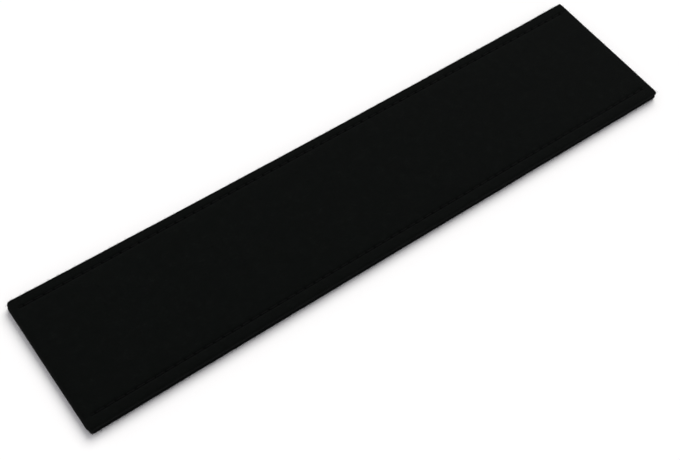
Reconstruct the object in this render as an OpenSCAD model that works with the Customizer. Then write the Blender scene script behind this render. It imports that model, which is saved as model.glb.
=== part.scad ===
// Knife blade guard: a felt strip folded over at one end, lined with two plastic sheets
// and closed along both long sides by a line of lockstitch. X runs from the folded end
// to the mouth, Y across the width, Z up. The origin is the middle of the underside.

/* [Sleeve] */
// Length from the folded end to the mouth
sleeve_l = 270; // [160:1:360]
// Width between the two cut sides
sleeve_w = 60; // [40:1:100]
// Thickness of the felt, as the seams hold it down
felt_t = 1.75; // [1.2:0.05:3]
// Radius of the corners at the folded end, seen from above
fold_corner_r = 1.8; // [0.4:0.1:6]
// Radius of the cut corners at the mouth, seen from above
mouth_corner_r = 0.8; // [0.2:0.1:6]

/* [Liner] */
// Thickness of each plastic liner sheet
liner_t = 0.3; // [0.2:0.05:0.6]
// Free height between the liner sheets, where the blade goes
slot_h = 0.5; // [0.3:0.1:2.5]
// Distance from the liner's edges to the felt's cut edges
liner_inset = 1.5; // [0.5:0.1:2.5]
// Clearance between the liner's closed end and the fold
liner_end_clearance = 0.3; // [0.1:0.1:3]

/* [Seams] */
// Distance from each seam's centre line to the cut side
seam_inset = 4.2; // [3.8:0.1:8]
// Length of one stitch
stitch_pitch = 4; // [2.5:0.1:6]
// Least distance from the last stitch to the mouth, and from the first to the fold
seam_end_gap = 3; // [2.6:0.1:10]
// Diameter of the sewing thread
thread_d = 0.35; // [0.25:0.01:0.45]
// How far the threads lie below the felt's face
thread_sink = 0.1; // [0.05:0.01:0.3]
// Gap between the two threads where they loop round each other
lock_clearance = 0.05; // [0.03:0.01:0.15]
// Gap between the threads and the needle holes and grooves that they lie in
hole_clearance = 0.06; // [0.04:0.01:0.2]

/* [Hidden] */

felt_color = "#111211";
liner_color = "#3a3c3e";
thread_color = "#1b1b1c";

// The stack, from the surface that the sleeve lies on upwards
sleeve_t = 2 * felt_t + 2 * liner_t + slot_h;
bottom_liner_z = felt_t;
top_liner_z = felt_t + liner_t + slot_h;
top_felt_z = top_liner_z + liner_t;
mid_z = sleeve_t / 2;

// Places along the length
closed_x = -sleeve_l / 2;
mouth_x = sleeve_l / 2;
fold_r = mid_z;
fold_x = closed_x + fold_r;
corner_steps = 48;

// Stitches: where the needle went through, and the size of the hole that it left
near_seam_y = -sleeve_w / 2 + seam_inset;
far_seam_y = -near_seam_y;
first_stitch_x = fold_x + seam_end_gap;
stitches = floor((mouth_x - seam_end_gap - first_stitch_x) / stitch_pitch) + 1;
last_stitch_x = first_stitch_x + (stitches - 1) * stitch_pitch;
loop_w = 2 * (thread_d + lock_clearance);
hole_w = loop_w + thread_d + 2 * hole_clearance;
hole_sides = 8;
hole_d = hole_w / cos(180 / hole_sides);
groove_w = hole_w + 2 * hole_clearance;
groove_depth = thread_sink + thread_d;
thread_tail = 1.2;
thread_sides = 6;

// Makes a cut run past the face that it opens
cut_over = 1;

function stitch_x(i) = first_stitch_x + i * stitch_pitch;

// Waste outside one rounded corner: dir points from the corner into the sleeve
module corner_waste(x, y, dir, r) {
    translate([x, y])
        scale([dir[0], dir[1]])
            difference() {
                translate([-cut_over, -cut_over])
                    square(r + cut_over);
                translate([r, r])
                    circle(r = r, $fn = corner_steps);
            }
}

// Outline of the sleeve seen from above
module sleeve_plan() {
    difference() {
        translate([closed_x, -sleeve_w / 2])
            square([sleeve_l, sleeve_w]);
        for (side = [-1, 1]) {
            corner_waste(closed_x, side * sleeve_w / 2, [1, -side], fold_corner_r);
            corner_waste(mouth_x, side * sleeve_w / 2, [-1, -side], mouth_corner_r);
        }
    }
}

// Needle holes of both seams, in plan
module stitch_holes() {
    for (y = [near_seam_y, far_seam_y], i = [0 : stitches - 1])
        translate([stitch_x(i), y])
            rotate(180 / hole_sides)
                circle(d = hole_d, $fn = hole_sides);
}

// The lines that the threads press into the felt, cut upwards from z
module seam_grooves(z) {
    groove_l = last_stitch_x - first_stitch_x + hole_w + 2 * thread_tail;
    for (y = [near_seam_y, far_seam_y])
        translate([first_stitch_x - hole_w / 2 - thread_tail, y - groove_w / 2, z])
            cube([groove_l, groove_w, groove_depth + cut_over]);
}

// One felt wall, lying with its inner face at z = 0 and its seams pressed into the top
module felt_wall() {
    difference() {
        linear_extrude(felt_t)
            difference() {
                intersection() {
                    sleeve_plan();
                    translate([fold_x, -sleeve_w / 2])
                        square([mouth_x - fold_x, sleeve_w]);
                }
                stitch_holes();
            }
        seam_grooves(felt_t - groove_depth);
    }
}

// Upper half of the felt strip, from the fold to the mouth
module felt_top_panel() {
    color(felt_color)
        translate([0, 0, top_felt_z])
            felt_wall();
}

// Lower half of the felt strip, which the sleeve rests on
module felt_bottom_panel() {
    color(felt_color)
        translate([0, 0, felt_t])
            mirror([0, 0, 1])
                felt_wall();
}

// The strip's fold, pressed shut, which closes the tip end of the slot
module felt_end_fold() {
    color(felt_color)
        intersection() {
            linear_extrude(sleeve_t)
                sleeve_plan();
            translate([fold_x, 0, mid_z])
                rotate([90, 0, 0])
                    difference() {
                        cylinder(r = fold_r, h = sleeve_w + 2 * cut_over, center = true, $fn = 64);
                        translate([0, -2 * fold_r, -sleeve_w])
                            cube([2 * fold_r, 4 * fold_r, 2 * sleeve_w]);
                    }
        }
}

// One liner sheet, lying on z = 0 and caught in both seams
module liner_sheet() {
    liner_x = fold_x + liner_end_clearance;
    linear_extrude(liner_t)
        difference() {
            translate([liner_x, -sleeve_w / 2 + liner_inset])
                square([mouth_x - liner_inset - liner_x, sleeve_w - 2 * liner_inset]);
            stitch_holes();
        }
}

// Smooth plastic against the upper felt wall
module liner_top_sheet() {
    color(liner_color)
        translate([0, 0, top_liner_z])
            liner_sheet();
}

// Smooth plastic against the lower felt wall
module liner_bottom_sheet() {
    color(liner_color)
        translate([0, 0, bottom_liner_z])
            liner_sheet();
}

// Route of the needle thread: along the top face, and at each hole down, under the
// bobbin thread and up again
function needle_route(y) =
    let (high = sleeve_t - thread_sink - thread_d / 2,
         low = mid_z - (thread_d + lock_clearance) / 2,
         half = loop_w / 2)
    concat(
        [[first_stitch_x - half - thread_tail, y, high]],
        [for (i = [0 : stitches - 1], p = [[-half, high], [-half, low], [half, low], [half, high]])
            [stitch_x(i) + p[0], y, p[1]]],
        [[last_stitch_x + half + thread_tail, y, high]]
    );

// Route of the bobbin thread: along the underside, and at each hole up, across over the
// needle thread and down again
function bobbin_route(y) =
    let (low = thread_sink + thread_d / 2,
         high = mid_z + (thread_d + lock_clearance) / 2,
         half = loop_w / 2)
    concat(
        [[first_stitch_x - half - thread_tail, y - half, low]],
        [for (i = [0 : stitches - 1], p = [[-half, low], [-half, high], [half, high], [half, low]])
            [stitch_x(i), y + p[0], p[1]]],
        [[last_stitch_x + half + thread_tail, y + half, low]]
    );

function unit(v) = v / norm(v);

// Turns the offset o with a corner of the route, from square to run a to square to run b
function turned(o, a, b) =
    let (k = cross(a, b), s = norm(k), c = a * b)
    s < 0.000001 ? o : o * c + cross(k, o) + k * (k * o) * (1 - c) / (s * s);

// The offsets of one section's points from the centre line, for every straight run
function run_sections(runs) =
    let (across = unit(cross(runs[0], [0, 1, 0])), side = cross(runs[0], across))
    [for (i = 0,
          ring = [for (k = [0 : thread_sides - 1])
              (across * cos(360 * k / thread_sides) + side * sin(360 * k / thread_sides)) * thread_d / 2];
          i < len(runs);
          i = i + 1,
          ring = i < len(runs) ? [for (o = ring) turned(o, runs[i - 1], runs[i])] : ring)
        ring];

// One unbroken thread along a route, mitred at its corners
module thread(route) {
    runs = [for (i = [1 : len(route) - 1]) unit(route[i] - route[i - 1])];
    sections = run_sections(runs);
    last = len(route) - 1;
    points = [
        for (i = [0 : last])
            let (before = runs[max(i - 1, 0)], after = runs[min(i, last - 1)],
                 mitre = before + after)
            for (o = sections[max(i - 1, 0)])
                route[i] + o - before * (o * mitre) / (before * mitre)
    ];
    walls = [
        for (i = [0 : last - 1], k = [0 : thread_sides - 1])
            let (a = i * thread_sides + k, b = i * thread_sides + (k + 1) % thread_sides)
            each [[a, b, b + thread_sides], [a, b + thread_sides, a + thread_sides]]
    ];
    start_cap = [for (k = [thread_sides - 1 : -1 : 0]) k];
    end_cap = [for (k = [0 : thread_sides - 1]) last * thread_sides + k];
    color(thread_color)
        polyhedron(points, concat(walls, [start_cap, end_cap]), convexity = 4);
}

// The seam along the near side, which is the one at low Y
module near_seam_needle_thread() {
    thread(needle_route(near_seam_y));
}

module near_seam_bobbin_thread() {
    thread(bobbin_route(near_seam_y));
}

// The seam along the far side
module far_seam_needle_thread() {
    thread(needle_route(far_seam_y));
}

module far_seam_bobbin_thread() {
    thread(bobbin_route(far_seam_y));
}

felt_top_panel();
felt_bottom_panel();
felt_end_fold();
liner_top_sheet();
liner_bottom_sheet();
near_seam_needle_thread();
near_seam_bobbin_thread();
far_seam_needle_thread();
far_seam_bobbin_thread();
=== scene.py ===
import math
import random

import bmesh
import bpy
from mathutils import Matrix, Vector, noise


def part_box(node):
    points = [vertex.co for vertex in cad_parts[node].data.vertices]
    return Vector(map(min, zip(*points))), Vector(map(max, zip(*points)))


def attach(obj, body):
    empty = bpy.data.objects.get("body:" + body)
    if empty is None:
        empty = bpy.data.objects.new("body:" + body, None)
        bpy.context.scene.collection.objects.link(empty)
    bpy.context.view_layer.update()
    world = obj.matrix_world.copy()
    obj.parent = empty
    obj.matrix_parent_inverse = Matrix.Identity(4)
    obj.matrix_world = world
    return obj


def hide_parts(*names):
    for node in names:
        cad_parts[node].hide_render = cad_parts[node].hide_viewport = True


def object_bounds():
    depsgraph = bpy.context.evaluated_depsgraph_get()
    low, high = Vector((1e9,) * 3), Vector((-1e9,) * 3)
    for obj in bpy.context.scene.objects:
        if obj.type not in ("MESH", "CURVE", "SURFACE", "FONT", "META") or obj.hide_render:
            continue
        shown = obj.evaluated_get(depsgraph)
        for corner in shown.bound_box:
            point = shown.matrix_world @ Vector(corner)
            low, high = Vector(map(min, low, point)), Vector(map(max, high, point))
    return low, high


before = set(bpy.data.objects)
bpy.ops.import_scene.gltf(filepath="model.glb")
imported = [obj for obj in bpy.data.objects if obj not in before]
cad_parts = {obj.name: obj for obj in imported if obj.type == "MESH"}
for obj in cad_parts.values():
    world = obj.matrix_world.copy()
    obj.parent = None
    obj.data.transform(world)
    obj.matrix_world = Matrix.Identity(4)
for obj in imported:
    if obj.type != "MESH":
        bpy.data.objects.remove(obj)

# The sleeve as a whole: a flat felt sleeve that lies on its underside, with its folded
# end towards -X and its mouth towards +X. Its outer sizes come from the frame.
MM = 0.001
cad_box = [[float(c) for c in corner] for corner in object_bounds()]
half_l = (cad_box[1][0] - cad_box[0][0]) / 2
half_w = (cad_box[1][1] - cad_box[0][1]) / 2
sleeve_t = cad_box[1][2] - cad_box[0][2]
mid_z = sleeve_t / 2

# The camera stands over the near side, towards the folded end, and rolls a little, as the
# photograph was taken. The focal length is given for a picture 680 pixels wide.
CAMERA_AZIMUTH = math.radians(-39.9)
CAMERA_ELEVATION = math.radians(56.1)
CAMERA_ROLL = math.radians(4.7)
CAMERA_DISTANCE = 467.5 * MM
CAMERA_AIM = Vector((-14.0 * MM, -9.9 * MM, 0))
FOCAL_PX = 1213
PICTURE_WIDTH_PX = 680
SENSOR_WIDTH = 36.0

camera = bpy.data.objects.new("camera", bpy.data.cameras.new("camera"))
camera.data.sensor_fit = "HORIZONTAL"
camera.data.sensor_width = SENSOR_WIDTH
camera.data.lens = FOCAL_PX * SENSOR_WIDTH / PICTURE_WIDTH_PX
camera.data.clip_start = 0.01
back = Vector((
    math.sin(CAMERA_AZIMUTH) * math.cos(CAMERA_ELEVATION),
    -math.cos(CAMERA_AZIMUTH) * math.cos(CAMERA_ELEVATION),
    math.sin(CAMERA_ELEVATION),
))
level_right = (-back).cross(Vector((0, 0, 1))).normalized()
level_up = level_right.cross(-back)
right = level_right * math.cos(CAMERA_ROLL) + level_up * math.sin(CAMERA_ROLL)
up = level_up * math.cos(CAMERA_ROLL) - level_right * math.sin(CAMERA_ROLL)
camera.matrix_world = (
    Matrix.Translation(CAMERA_AIM + back * CAMERA_DISTANCE)
    @ Matrix((right, up, back)).transposed().to_4x4()
)
bpy.context.scene.collection.objects.link(camera)
bpy.context.scene.camera = camera


# The floor is a plain white sheet, lit by a white surround and one broad, soft lamp from
# beyond the far side, which leaves its soft shadow along the near side and the fold.
def linear(hex_code):
    """Linear RGBA of an sRGB colour such as "#101110"."""
    parts = [int(hex_code[i : i + 2], 16) / 255 for i in (1, 3, 5)]
    return [c / 12.92 if c <= 0.04045 else ((c + 0.055) / 1.055) ** 2.4 for c in parts] + [1.0]


def add(tree, kind, settings=None, values=None, links=None):
    """A new node with its properties, the values of its free inputs, and its links."""
    made = tree.nodes.new(kind)
    for name, value in (settings or {}).items():
        setattr(made, name, value)
    for name, value in (values or {}).items():
        made.inputs[name].default_value = value
    for name, socket in (links or {}).items():
        tree.links.new(socket, made.inputs[name])
    return made


def new_material(name):
    material = bpy.data.materials.new(name)
    material.use_nodes = True
    material.node_tree.nodes.clear()
    return material


def number_in(tree, name):
    """A new number that a node tree takes in, as the key that a modifier sets it by."""
    made = tree.interface.new_socket(name, in_out="INPUT", socket_type="NodeSocketFloat")
    return made.identifier


FLOOR_HALF = 2.0
FLOOR_COLOUR = "#FFFFFF"
SURROUND_LEVEL = 0.55
SURROUND_COLOUR = "#FCFBFF"
LAMP_LEVEL = 0.50
LAMP_COLOUR = "#FFFEFA"
LAMP_FROM = Vector((0.62, 0.40, 0.85))
LAMP_SPREAD = math.radians(44)

floor_material = new_material("white_studio_floor")
floor_tree = floor_material.node_tree
floor_shader = add(floor_tree, "ShaderNodeBsdfDiffuse", values={"Color": linear(FLOOR_COLOUR)})
add(floor_tree, "ShaderNodeOutputMaterial", links={"Surface": floor_shader.outputs[0]})

floor_mesh = bpy.data.meshes.new("floor")
floor_mesh.from_pydata(
    [(x * FLOOR_HALF, y * FLOOR_HALF, 0) for x, y in ((-1, -1), (1, -1), (1, 1), (-1, 1))],
    [], [(0, 1, 2, 3)],
)
floor_mesh.materials.append(floor_material)
floor = bpy.data.objects.new("floor", floor_mesh)
bpy.context.scene.collection.objects.link(floor)

lamp = bpy.data.objects.new("soft_lamp", bpy.data.lights.new("soft_lamp", "SUN"))
lamp.data.energy = LAMP_LEVEL * math.pi / LAMP_FROM.normalized().z
lamp.data.angle = LAMP_SPREAD
lamp.data.color = linear(LAMP_COLOUR)[:3]
lamp.rotation_euler = LAMP_FROM.to_track_quat("Z", "Y").to_euler()
bpy.context.scene.collection.objects.link(lamp)

world = bpy.data.worlds.new("white_surround")
bpy.context.scene.world = world
world.use_nodes = True
world_tree = world.node_tree
world_tree.nodes.clear()
seen = add(world_tree, "ShaderNodeLightPath").outputs["Is Camera Ray"]
lighting = add(
    world_tree, "ShaderNodeBackground",
    values={"Color": linear(SURROUND_COLOUR), "Strength": SURROUND_LEVEL},
)
backdrop = add(world_tree, "ShaderNodeBackground", values={"Color": (1, 1, 1, 1), "Strength": 1.0})
either = add(
    world_tree, "ShaderNodeMixShader",
    links={0: seen, 1: lighting.outputs[0], 2: backdrop.outputs[0]},
)
add(world_tree, "ShaderNodeOutputWorld", links={"Surface": either.outputs[0]})
bpy.context.scene.view_settings.view_transform = "Standard"

# The felt: one strip of black needled felt, cut with shears, folded in half over the
# liner's end and sewn down both long sides. The seams press it down, and its cut edges
# stay thick and meet in a thin parting line.
# FELT_DARK and FELT_PALE carry painted shade in the felt's hollows and painted light on its raised
# fibres, as well as the felt's own uneven tone.
FELT_DARK = "#060807"
FELT_MID = "#080A09"
FELT_PALE = "#131614"
FIBRE_LENGTH_MM = 1.1
FIBRE_WIDTH_MM = 0.22
CLUMP_MM = 3.0
FELT_RELIEF = 0.16 * MM

felt_material = new_material("black_needled_felt")
felt_tree = felt_material.node_tree
place = add(felt_tree, "ShaderNodeTexCoord").outputs["Object"]
# Needled felt is a mat of crossing fibres: two sets of stretched noise, turned against
# each other, stand for them, drawn a little coarser than the real ones so that they show.
strands = []
for turn in (24, -52):
    laid = add(
        felt_tree, "ShaderNodeMapping",
        values={
            "Rotation": (0, 0, math.radians(turn)),
            "Scale": [
                1 / (MM * size)
                for size in (FIBRE_LENGTH_MM, FIBRE_WIDTH_MM, FIBRE_WIDTH_MM * 2)
            ],
        },
        links={"Vector": place},
    )
    strands.append(add(
        felt_tree, "ShaderNodeTexNoise",
        values={"Scale": 1.0, "Detail": 3.0, "Roughness": 0.6, "Distortion": 0.9},
        links={"Vector": laid.outputs[0]},
    ).outputs[0])
mat = add(
    felt_tree, "ShaderNodeMath", {"operation": "MAXIMUM"},
    links={0: strands[0], 1: strands[1]},
)
clumps = add(
    felt_tree, "ShaderNodeTexNoise",
    values={"Scale": 1 / (MM * CLUMP_MM), "Detail": 4.0, "Roughness": 0.55},
    links={"Vector": place},
)
height = add(
    felt_tree, "ShaderNodeMath", {"operation": "MULTIPLY_ADD"},
    values={1: 0.5}, links={0: clumps.outputs[0], 2: mat.outputs[0]},
)
# The colour follows the same height as the bump. The felt is darker where it lies low between fibres
# and clumps, which is painted shade, and paler where it stands high, which is painted light. This
# also gives the felt an uneven tone of its own.
felt_colour = add(
    felt_tree, "ShaderNodeValToRGB", links={"Fac": add(
        felt_tree, "ShaderNodeMapRange",
        values={"From Min": 0.60, "From Max": 1.15},
        links={"Value": height.outputs[0]},
    ).outputs[0]},
)
felt_colour.color_ramp.elements[0].color = linear(FELT_DARK)
felt_colour.color_ramp.elements[1].color = linear(FELT_PALE)
felt_colour.color_ramp.elements.new(0.5).color = linear(FELT_MID)
felt_bump = add(
    felt_tree, "ShaderNodeBump",
    values={"Strength": 0.8, "Distance": FELT_RELIEF},
    links={"Height": height.outputs[0]},
)
felt_shader = add(
    felt_tree, "ShaderNodeBsdfPrincipled",
    values={
        "Roughness": 0.95, "Specular IOR Level": 0.03,
        "Sheen Weight": 0.02, "Sheen Roughness": 0.55,
    },
    links={"Base Color": felt_colour.outputs[0], "Normal": felt_bump.outputs[0]},
)
add(felt_tree, "ShaderNodeOutputMaterial", links={"Surface": felt_shader.outputs[0]})

panel_low, panel_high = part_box("felt_bottom_panel")
felt_t = panel_high[2] - panel_low[2]
fold_x = panel_low[0]
liner_edge_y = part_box("liner_bottom_sheet")[1][1]
needle_low, needle_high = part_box("near_seam_needle_thread")
seam_y = abs(needle_low[1] + needle_high[1]) / 2
seam_inset = half_w - seam_y
STITCH_PITCH = 4 * MM
LOOP_W = 0.8 * MM
THREAD_TAIL = 1.2 * MM
first_stitch_x = needle_low[0] + THREAD_TAIL + LOOP_W / 2
last_stitch_x = needle_high[0] - THREAD_TAIL - LOOP_W / 2
stitch_count = round((last_stitch_x - first_stitch_x) / STITCH_PITCH) + 1

# Where the felt's surfaces lie, as distances from the middle plane of the sleeve.
FOLD_CORNER = 1.8 * MM
MOUTH_CORNER = 0.8 * MM
EDGE_ROUND = 0.5 * MM
PARTING_GAP = 0.07 * MM
PARTING_ROUND = 0.3 * MM
SEAM_DEPTH = 0.40 * MM
HOLE_DEPTH = 0.42 * MM
SEAM_HALF_WIDTH = 0.5 * MM
HOLE_HALF_LENGTH = 0.5 * MM
SEAM_DRAW = 0.14 * MM
SEAM_DRAW_WIDTH = 1.9 * MM
FAR_BOW = 0.9 * MM
NEAR_BOW = 0.15 * MM
FAR_PROUD = 0.45 * MM
NEAR_PROUD = 0.65 * MM
SEAM_PRESS_BEFORE_FIRST = 2.4 * MM
SEAM_PRESS_AFTER_LAST = 2.0 * MM
CUT_WAVE = 19 * MM
CUT_WAVE_DEPTH = 0.10 * MM
CUT_RIPPLE = 2.3 * MM
CUT_RIPPLE_DEPTH = 0.06 * MM
CUT_BULGE = 0.12 * MM
WANDER_ENDS_OFF_SEAM = 0.6 * MM
FACE_WAVE = 21 * MM
FACE_WAVE_DEPTH = 0.11 * MM
FACE_RIPPLE = 3.1 * MM
FACE_RIPPLE_DEPTH = 0.06 * MM
LINER_STEP = 0.45 * MM
FUZZ_REACH = 0.8 * MM


def eased(t):
    t = min(max(t, 0.0), 1.0)
    return t * t * (3 - 2 * t)


def rounded_off(distance, radius):
    """How far a rounded edge lies below the face, at this distance from the edge."""
    if distance >= radius:
        return 0.0
    return radius - math.sqrt(max(radius**2 - (radius - distance) ** 2, 0.0))


def seam_press(x, from_cut):
    """How deep the stitches press the felt down, this far from the cut side."""
    since_start = x - first_stitch_x + SEAM_PRESS_BEFORE_FIRST
    until_end = last_stitch_x + SEAM_PRESS_AFTER_LAST - x
    along = eased(since_start / MM) * eased(until_end / MM)
    nearest = first_stitch_x + STITCH_PITCH * min(
        max(round((x - first_stitch_x) / STITCH_PITCH), 0), stitch_count - 1
    )
    at_hole = math.exp(-(((x - nearest) / HOLE_HALF_LENGTH) ** 2))
    across = from_cut - seam_inset
    line = math.exp(-((across / SEAM_HALF_WIDTH) ** 2))
    drawn = math.exp(-((across / SEAM_DRAW_WIDTH) ** 2))
    return along * (line * (SEAM_DEPTH + HOLE_DEPTH * at_hole) + SEAM_DRAW * drawn)


def cut_wander(x, side):
    """How far in the cut lies from the frame's straight side, or out from it if negative."""
    bow, proud = (FAR_BOW, FAR_PROUD) if side > 0 else (NEAR_BOW, NEAR_PROUD)
    slow = noise.noise(Vector((x / CUT_WAVE, side * 7.3, 0.4)))
    quick = noise.noise(Vector((x / CUT_RIPPLE, side * 3.1, 5.2)))
    straight = bow * (1 - (x / half_l) ** 2) - proud
    return straight + CUT_WAVE_DEPTH * slow + CUT_RIPPLE_DEPTH * quick


def unevenness(x, y, layer):
    """How far the felt's face lies below its flat, always inwards."""
    broad = noise.noise(Vector((x / FACE_WAVE, y / FACE_WAVE, layer * 9.7)))
    fine = noise.noise(Vector((x / FACE_RIPPLE, y / FACE_RIPPLE, layer * 4.3)))
    return FACE_WAVE_DEPTH * (1 + broad) / 2 + FACE_RIPPLE_DEPTH * (1 + fine) / 2


def in_plan(x, y):
    """Moves a point near one of the four corners in to the corner's round."""
    for end, radius in ((-1, FOLD_CORNER), (1, MOUTH_CORNER)):
        across = abs(y) - (half_w - radius)
        along = end * x - (half_l - radius)
        if across > 0 and along > 0:
            keep = max(across, along) / math.hypot(across, along)
            y = math.copysign(half_w - radius + across * keep, y)
            x = end * (half_l - radius + along * keep)
    return x, y


# Columns across the strip, by their distance from the nearer cut side, and rows along it.
COLUMNS_MM = (
    0, 0.12, 0.32, 0.7, 1.15, 1.7, 2.4, 3.1, 3.6, 3.95, 4.2,
    4.45, 4.8, 5.3, 6.2, 8, 11, 15, 20, 25,
)
ROWS_BY_STITCH_MM = (-1.4, -0.8, -0.35, 0, 0.35, 0.8, 1.4)
ROWS_AT_MOUTH_MM = (0, 0.1, 0.25, 0.5)
ROWS_AT_FOLD_MM = (0, 0.6, 1.1)
FOLD_STEPS = 14
RIM_STEPS = 3

cuts = [c * MM for c in COLUMNS_MM]
columns = [(-1, c) for c in cuts] + [(0, half_w)] + [(1, c) for c in reversed(cuts)]
wall_xs = [first_stitch_x + (i * STITCH_PITCH) + r * MM
           for i in range(stitch_count) for r in ROWS_BY_STITCH_MM]
wall_xs += [half_l - r * MM for r in ROWS_AT_MOUTH_MM]
wall_xs += [fold_x + r * MM for r in ROWS_AT_FOLD_MM]
wall_xs = sorted(x for x in set(wall_xs) if fold_x <= x <= half_l)

# Each row is a place on the strip's run: down the top wall, round the fold, and back.
rows = [(x, math.pi / 2) for x in reversed(wall_xs)]
rows += [(fold_x, math.pi / 2 - math.pi * k / FOLD_STEPS) for k in range(1, FOLD_STEPS)]
rows += [(x, -math.pi / 2) for x in wall_xs]


def strip_point(x, turn, y, off):
    """A point of the strip that lies off the middle plane, or off the fold's axis."""
    px = x - off * math.cos(turn)
    px, py = in_plan(px, y)
    return px, py, mid_z + off * math.sin(turn)


felt_points = []
cut_nearness = []
for x, turn in rows:
    layer = 1 if turn > 0 else -1
    from_mouth = half_l - x
    mouth_round = rounded_off(from_mouth, EDGE_ROUND)
    outer, inner = [], []
    for side, from_cut in columns:
        fade = max(0.0, 1 - from_cut / (seam_inset - WANDER_ENDS_OFF_SEAM))
        y = side * (half_w - from_cut - cut_wander(x, side) * fade) if side else 0.0
        past_liner = eased((abs(y) - liner_edge_y) / LINER_STEP)
        out_off = mid_z - seam_press(x, from_cut) - unevenness(x, y, layer)
        out_off -= rounded_off(from_cut, EDGE_ROUND) + mouth_round
        in_off = (mid_z - felt_t) * (1 - past_liner) + PARTING_GAP * past_liner
        in_off += rounded_off(from_cut, PARTING_ROUND) + mouth_round * 0.6
        outer.append((x, turn, y, out_off))
        inner.append((x, turn, y, in_off))
    ring = list(outer)
    for start, end, side in ((outer[-1], inner[-1], 1), (inner[0], outer[0], -1)):
        if side < 0:
            ring += list(reversed(inner))
        for k in range(1, RIM_STEPS + 1):
            t = k / (RIM_STEPS + 1)
            bulge = CUT_BULGE * math.sin(math.pi * t)
            ring.append((x, turn, start[2] + side * bulge, start[3] * (1 - t) + end[3] * t))
    felt_points += [strip_point(*p) for p in ring]
    for _, _, y, _ in ring:
        from_side = half_w - abs(y)
        cut_nearness.append(max(
            math.exp(-max(from_side, 0) / FUZZ_REACH), math.exp(-from_mouth / FUZZ_REACH)
        ))

wide = len(columns)
ring_size = 2 * wide + 2 * RIM_STEPS
felt_faces = []
for r in range(len(rows) - 1):
    for k in range(ring_size):
        a, b = r * ring_size + k, r * ring_size + (k + 1) % ring_size
        felt_faces.append((a, b, b + ring_size, a + ring_size))
for base, flip in ((0, False), ((len(rows) - 1) * ring_size, True)):
    inner_at = base + ring_size - RIM_STEPS - 1
    caps = [(base + k, base + k + 1, inner_at - k - 1, inner_at - k) for k in range(wide - 1)]
    caps.append(tuple(range(base + wide - 1, base + wide + RIM_STEPS + 1)))
    caps.append((base,) + tuple(range(base + ring_size - 1, inner_at - 1, -1)))
    felt_faces += [tuple(reversed(c)) if flip else c for c in caps]

felt_mesh = bpy.data.meshes.new("felt_strip")
felt_mesh.from_pydata(felt_points, [], felt_faces)
fuzz_weight = felt_mesh.attributes.new("cut_nearness", "FLOAT", "POINT")
fuzz_weight.data.foreach_set("value", cut_nearness)
work = bmesh.new()
work.from_mesh(felt_mesh)
bmesh.ops.recalc_face_normals(work, faces=work.faces)
work.to_mesh(felt_mesh)
work.free()
felt_mesh.polygons.foreach_set("use_smooth", [True] * len(felt_mesh.polygons))
felt_mesh.materials.append(felt_material)
felt_strip = bpy.data.objects.new("felt_strip", felt_mesh)
bpy.context.scene.collection.objects.link(felt_strip)

# The loose fibres that stand up from the felt, more of them along its cut edges: short
# curved hairs of the same black, drawn thicker than real ones so that they show.
HAIRS_PER_MM2 = 0.34
HAIRS_PER_MM2_AT_CUT = 3.0
HAIR_LENGTH = 0.9 * MM
HAIR_RADIUS = 0.016 * MM
HAIR_LOWEST = 0.35 * MM
HAIR_REST = 0.02 * MM
HAIR_SEED = 7

hair_tree = bpy.data.node_groups.new("felt_hairs", "GeometryNodeTree")
hair_tree.is_modifier = True
hair_tree.interface.new_socket("Felt", in_out="INPUT", socket_type="NodeSocketGeometry")
density_in = number_in(hair_tree, "Hairs per mm2")
cut_density_in = number_in(hair_tree, "Hairs per mm2 at a cut")
length_in = number_in(hair_tree, "Hair length")
radius_in = number_in(hair_tree, "Hair radius")
hair_tree.interface.new_socket("Hairs", in_out="OUTPUT", socket_type="NodeSocketGeometry")
given = hair_tree.nodes.new("NodeGroupInput").outputs
cut_weight = add(
    hair_tree, "GeometryNodeInputNamedAttribute", {"data_type": "FLOAT"},
    values={"Name": "cut_nearness"},
).outputs["Attribute"]
by_area = add(
    hair_tree, "ShaderNodeMath", {"operation": "MULTIPLY_ADD"},
    links={0: cut_weight, 1: given["Hairs per mm2 at a cut"], 2: given["Hairs per mm2"]},
)
per_m2 = add(
    hair_tree, "ShaderNodeMath", {"operation": "MULTIPLY"},
    values={1: 1 / MM**2}, links={0: by_area.outputs[0]},
)
where = add(
    hair_tree, "ShaderNodeSeparateXYZ",
    links={0: add(hair_tree, "GeometryNodeInputPosition").outputs[0]},
)
off_floor = add(
    hair_tree, "ShaderNodeMath", {"operation": "GREATER_THAN"},
    values={1: HAIR_LOWEST}, links={0: where.outputs["Z"]},
)
roots = add(
    hair_tree, "GeometryNodeDistributePointsOnFaces", {"distribute_method": "RANDOM"},
    values={"Seed": HAIR_SEED},
    links={"Mesh": given["Felt"], "Selection": off_floor.outputs[0], "Density": per_m2.outputs[0]},
)
lean = add(
    hair_tree, "FunctionNodeRandomValue", {"data_type": "FLOAT_VECTOR"},
    values={0: (-0.5, -0.5, 0), 1: (0.5, 0.5, 2 * math.pi), 8: HAIR_SEED + 1},
)
lean_turn = add(hair_tree, "FunctionNodeEulerToRotation", links={0: lean.outputs[0]})
stand = add(
    hair_tree, "FunctionNodeRotateRotation", {"rotation_space": "LOCAL"},
    links={0: roots.outputs["Rotation"], 1: lean_turn.outputs[0]},
)
grown = add(
    hair_tree, "FunctionNodeRandomValue", {"data_type": "FLOAT"},
    values={2: 0.45, 3: 1.35, 8: HAIR_SEED + 2},
)
hair_scale = add(
    hair_tree, "ShaderNodeMath", {"operation": "MULTIPLY"},
    links={0: grown.outputs[1], 1: given["Hair length"]},
)
arc = add(
    hair_tree, "GeometryNodeCurveQuadraticBezier",
    values={
        "Resolution": 3, "Start": (0, 0, -0.06),
        "Middle": (0.45, 0.12, 0.55), "End": (0.95, 0.0, 0.10),
    },
)
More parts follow.
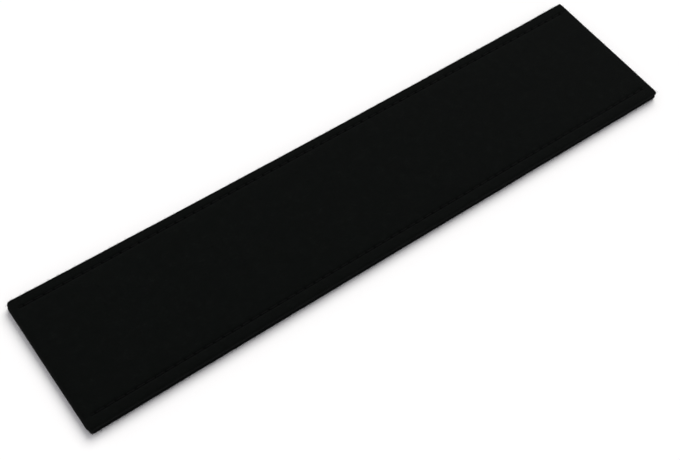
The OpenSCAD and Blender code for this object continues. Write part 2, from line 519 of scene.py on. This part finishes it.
thin = add(
    hair_tree, "ShaderNodeMath", {"operation": "DIVIDE"},
    links={0: given["Hair radius"], 1: given["Hair length"]},
)
hair_section = add(
    hair_tree, "GeometryNodeCurvePrimitiveCircle", {"mode": "RADIUS"},
    values={"Resolution": 3}, links={"Radius": thin.outputs[0]},
)
hair = add(
    hair_tree, "GeometryNodeCurveToMesh", values={"Fill Caps": True},
    links={"Curve": arc.outputs[0], "Profile Curve": hair_section.outputs[0]},
)
hairs = add(
    hair_tree, "GeometryNodeInstanceOnPoints",
    links={
        "Points": roots.outputs["Points"], "Instance": hair.outputs[0],
        "Rotation": stand.outputs[0], "Scale": hair_scale.outputs[0],
    },
)
real_hairs = add(hair_tree, "GeometryNodeRealizeInstances", links={"Geometry": hairs.outputs[0]})
black_hairs = add(
    hair_tree, "GeometryNodeSetMaterial",
    values={"Material": felt_material}, links={"Geometry": real_hairs.outputs[0]},
)
add(hair_tree, "NodeGroupOutput", links={"Hairs": black_hairs.outputs[0]})


def grow(name, mesh, tree, inputs, material):
    """The plain mesh object that a node tree makes of a mesh."""
    source = bpy.data.objects.new(name + "_source", mesh)
    bpy.context.scene.collection.objects.link(source)
    modifier = source.modifiers.new("grow", "NODES")
    modifier.node_group = tree
    for socket, value in inputs.items():
        modifier[socket] = value
    shown = source.evaluated_get(bpy.context.evaluated_depsgraph_get())
    result = bpy.data.meshes.new_from_object(shown)
    source.modifiers.remove(modifier)
    bpy.data.objects.remove(source)
    result.name = name
    result.materials.clear()
    result.materials.append(material)
    piece = bpy.data.objects.new(name, result)
    bpy.context.scene.collection.objects.link(piece)
    return piece


felt_hairs = grow(
    "felt_hairs", felt_mesh, hair_tree,
    {
        density_in: HAIRS_PER_MM2,
        cut_density_in: HAIRS_PER_MM2_AT_CUT,
        length_in: HAIR_LENGTH,
        radius_in: HAIR_RADIUS,
    },
    felt_material,
)
# Hairs that lean down bend along the surface that the sleeve lies on.
for point in felt_hairs.data.vertices:
    point.co.z = max(point.co.z, HAIR_REST)
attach(felt_strip, "root")
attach(felt_hairs, "root")
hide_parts("felt_top_panel", "felt_bottom_panel", "felt_end_fold")

# The liner: two sheets of dark grey polypropylene, cut from roll and caught in both
# seams, which keep the blade's edge off the felt and the stitches.
LINER_COLOUR = "#2B2C2E"
LINER_WORN = "#3A3B3D"
SCRATCH_MM = 0.12

liner_material = new_material("grey_polypropylene_sheet")
liner_tree = liner_material.node_tree
liner_place = add(
    liner_tree, "ShaderNodeMapping",
    values={"Scale": (1 / (MM * 14), 1 / (MM * SCRATCH_MM), 1 / (MM * SCRATCH_MM))},
    links={"Vector": add(liner_tree, "ShaderNodeTexCoord").outputs["Object"]},
)
# Blades leave fine scratches along the sheet, and the scratched stretches are paler.
scratches = add(
    liner_tree, "ShaderNodeTexNoise", values={"Scale": 1.0, "Detail": 3.0, "Roughness": 0.65},
    links={"Vector": liner_place.outputs[0]},
)
liner_colour = add(
    liner_tree, "ShaderNodeValToRGB", links={"Fac": scratches.outputs[0]},
)
liner_colour.color_ramp.elements[0].position = 0.45
liner_colour.color_ramp.elements[0].color = linear(LINER_COLOUR)
liner_colour.color_ramp.elements[1].position = 0.75
liner_colour.color_ramp.elements[1].color = linear(LINER_WORN)
liner_rough = add(
    liner_tree, "ShaderNodeMapRange", values={"To Min": 0.34, "To Max": 0.52},
    links={"Value": scratches.outputs[0]},
)
liner_bump = add(
    liner_tree, "ShaderNodeBump", values={"Strength": 0.25, "Distance": 0.02 * MM},
    links={"Height": scratches.outputs[0]},
)
liner_shader = add(
    liner_tree, "ShaderNodeBsdfPrincipled", values={"IOR": 1.49},
    links={
        "Base Color": liner_colour.outputs[0], "Roughness": liner_rough.outputs[0],
        "Normal": liner_bump.outputs[0],
    },
)
add(liner_tree, "ShaderNodeOutputMaterial", links={"Surface": liner_shader.outputs[0]})
for name in ("liner_top_sheet", "liner_bottom_sheet"):
    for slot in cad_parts[name].material_slots:
        slot.material = liner_material

# The seams: each is a lockstitch of two black three-ply polyester threads. The needle
# thread lies pressed into the top face and the bobbin thread into the underside, and at
# every hole they loop round each other in the middle of the sleeve.
THREAD_D = 0.35 * MM
THREAD_SINK = 0.10 * MM
LOCK_CLEARANCE = 0.05 * MM
THREAD_COLOUR = "#070708"
THREAD_LIT = "#0F0F10"
FILAMENT_MM = 0.05
PLY_LAY = 1.3 * MM
PLY_DEPTH = 0.13
CORNER_ROUND = 0.16 * MM
SECTION_GAP = 0.22 * MM
STITCH_WANDER = 0.05 * MM

thread_material = new_material("black_polyester_thread")
thread_tree = thread_material.node_tree
# Filament polyester has a slight lustre, which its twist breaks into short glints. These are painted
# glints, a paler tone in the thread's colour, from the same noise that gives the filaments' bump.
filaments_and_glints = add(
    thread_tree, "ShaderNodeTexNoise",
    values={"Scale": 1 / (MM * FILAMENT_MM), "Detail": 2.0, "Roughness": 0.5},
    links={"Vector": add(thread_tree, "ShaderNodeTexCoord").outputs["Object"]},
)
# Painted glints: the thread's colour turns from THREAD_COLOUR to the paler THREAD_LIT where the
# noise is high.
thread_colour = add(thread_tree, "ShaderNodeValToRGB", links={"Fac": filaments_and_glints.outputs[0]})
thread_colour.color_ramp.elements[0].position = 0.35
thread_colour.color_ramp.elements[0].color = linear(THREAD_COLOUR)
thread_colour.color_ramp.elements[1].position = 0.75
thread_colour.color_ramp.elements[1].color = linear(THREAD_LIT)
thread_bump = add(
    thread_tree, "ShaderNodeBump", values={"Strength": 0.3, "Distance": 0.015 * MM},
    links={"Height": filaments_and_glints.outputs[0]},
)
thread_shader = add(
    thread_tree, "ShaderNodeBsdfPrincipled",
    values={"Roughness": 0.55, "Specular IOR Level": 0.08},
    links={"Base Color": thread_colour.outputs[0], "Normal": thread_bump.outputs[0]},
)
add(thread_tree, "ShaderNodeOutputMaterial", links={"Surface": thread_shader.outputs[0]})

ply_tree = bpy.data.node_groups.new("twisted_thread", "GeometryNodeTree")
ply_tree.is_modifier = True
ply_tree.interface.new_socket("Route", in_out="INPUT", socket_type="NodeSocketGeometry")
ply_radius_in = number_in(ply_tree, "Radius")
ply_lay_in = number_in(ply_tree, "Lay")
ply_corner_in = number_in(ply_tree, "Corner")
ply_gap_in = number_in(ply_tree, "Section gap")
ply_tree.interface.new_socket("Thread", in_out="OUTPUT", socket_type="NodeSocketGeometry")
ply_given = ply_tree.nodes.new("NodeGroupInput").outputs
route_curve = add(ply_tree, "GeometryNodeMeshToCurve", links={"Mesh": ply_given["Route"]})
soft_corners = add(
    ply_tree, "GeometryNodeFilletCurve", {"mode": "POLY"},
    values={"Count": 3}, links={"Curve": route_curve.outputs[0], "Radius": ply_given["Corner"]},
)
even = add(
    ply_tree, "GeometryNodeResampleCurve", {"mode": "LENGTH"},
    links={"Curve": soft_corners.outputs[0], "Length": ply_given["Section gap"]},
)
run_length = add(ply_tree, "GeometryNodeSplineParameter").outputs["Length"]
turns = add(
    ply_tree, "ShaderNodeMath", {"operation": "DIVIDE"},
    links={0: run_length, 1: ply_given["Lay"]},
)
twist = add(
    ply_tree, "ShaderNodeMath", {"operation": "MULTIPLY"},
    values={1: 2 * math.pi}, links={0: turns.outputs[0]},
)
twisted = add(
    ply_tree, "GeometryNodeSetCurveTilt",
    links={"Curve": even.outputs[0], "Tilt": twist.outputs[0]},
)
round_section = add(
    ply_tree, "GeometryNodeCurvePrimitiveCircle", {"mode": "RADIUS"},
    values={"Resolution": 12}, links={"Radius": ply_given["Radius"]},
)
angle = add(
    ply_tree, "ShaderNodeMath", {"operation": "MULTIPLY"},
    values={1: 3 * 2 * math.pi},
    links={0: add(ply_tree, "GeometryNodeSplineParameter").outputs["Factor"]},
)
lobes = add(ply_tree, "ShaderNodeMath", {"operation": "COSINE"}, links={0: angle.outputs[0]})
lobed = add(
    ply_tree, "ShaderNodeMath", {"operation": "MULTIPLY_ADD"},
    values={1: PLY_DEPTH, 2: 1 - PLY_DEPTH}, links={0: lobes.outputs[0]},
)
lobed_place = add(
    ply_tree, "ShaderNodeVectorMath", {"operation": "SCALE"},
    links={0: add(ply_tree, "GeometryNodeInputPosition").outputs[0], "Scale": lobed.outputs[0]},
)
ply_section = add(
    ply_tree, "GeometryNodeSetPosition",
    links={"Geometry": round_section.outputs[0], "Position": lobed_place.outputs[0]},
)
tube = add(
    ply_tree, "GeometryNodeCurveToMesh", values={"Fill Caps": True},
    links={"Curve": twisted.outputs[0], "Profile Curve": ply_section.outputs[0]},
)
real_tube = add(ply_tree, "GeometryNodeRealizeInstances", links={"Geometry": tube.outputs[0]})
black_tube = add(
    ply_tree, "GeometryNodeSetMaterial",
    values={"Material": thread_material}, links={"Geometry": real_tube.outputs[0]},
)
add(ply_tree, "NodeGroupOutput", links={"Thread": black_tube.outputs[0]})


def needle_route(y, draw):
    """Along the top face, and at each hole down, under the bobbin thread and up."""
    high = sleeve_t - THREAD_SINK - THREAD_D / 2
    low = mid_z - (THREAD_D + LOCK_CLEARANCE) / 2
    half = LOOP_W / 2
    route = [(first_stitch_x - half - THREAD_TAIL, y, high)]
    for i in range(stitch_count):
        x = first_stitch_x + i * STITCH_PITCH
        at = y + draw.uniform(-STITCH_WANDER, STITCH_WANDER)
        route += [(x - half, at, high), (x - half, y, low), (x + half, y, low), (x + half, at, high)]
    return route + [(last_stitch_x + half + THREAD_TAIL, y, high)]


def bobbin_route(y, draw):
    """Along the underside, and at each hole up, across over the needle thread and down."""
    low = THREAD_SINK + THREAD_D / 2
    high = mid_z + (THREAD_D + LOCK_CLEARANCE) / 2
    half = LOOP_W / 2
    route = [(first_stitch_x - half - THREAD_TAIL, y - half, low)]
    for i in range(stitch_count):
        x = first_stitch_x + i * STITCH_PITCH
        at = x + draw.uniform(-STITCH_WANDER, STITCH_WANDER)
        route += [(at, y - half, low), (x, y - half, high), (x, y + half, high), (at, y + half, low)]
    return route + [(last_stitch_x + half + THREAD_TAIL, y + half, low)]


draw = random.Random(11)
for seam, y in (("near", -seam_y), ("far", seam_y)):
    for kind, route_of in (("needle", needle_route), ("bobbin", bobbin_route)):
        route = route_of(y, draw)
        route_mesh = bpy.data.meshes.new("route")
        route_mesh.from_pydata(route, [(i, i + 1) for i in range(len(route) - 1)], [])
        thread = grow(
            f"{seam}_{kind}_thread", route_mesh, ply_tree,
            {
                ply_radius_in: THREAD_D / 2,
                ply_lay_in: PLY_LAY,
                ply_corner_in: CORNER_ROUND,
                ply_gap_in: SECTION_GAP,
            },
            thread_material,
        )
        thread.data.polygons.foreach_set("use_smooth", [True] * len(thread.data.polygons))
        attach(thread, "root")
        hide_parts(f"{seam}_seam_{kind}_thread")
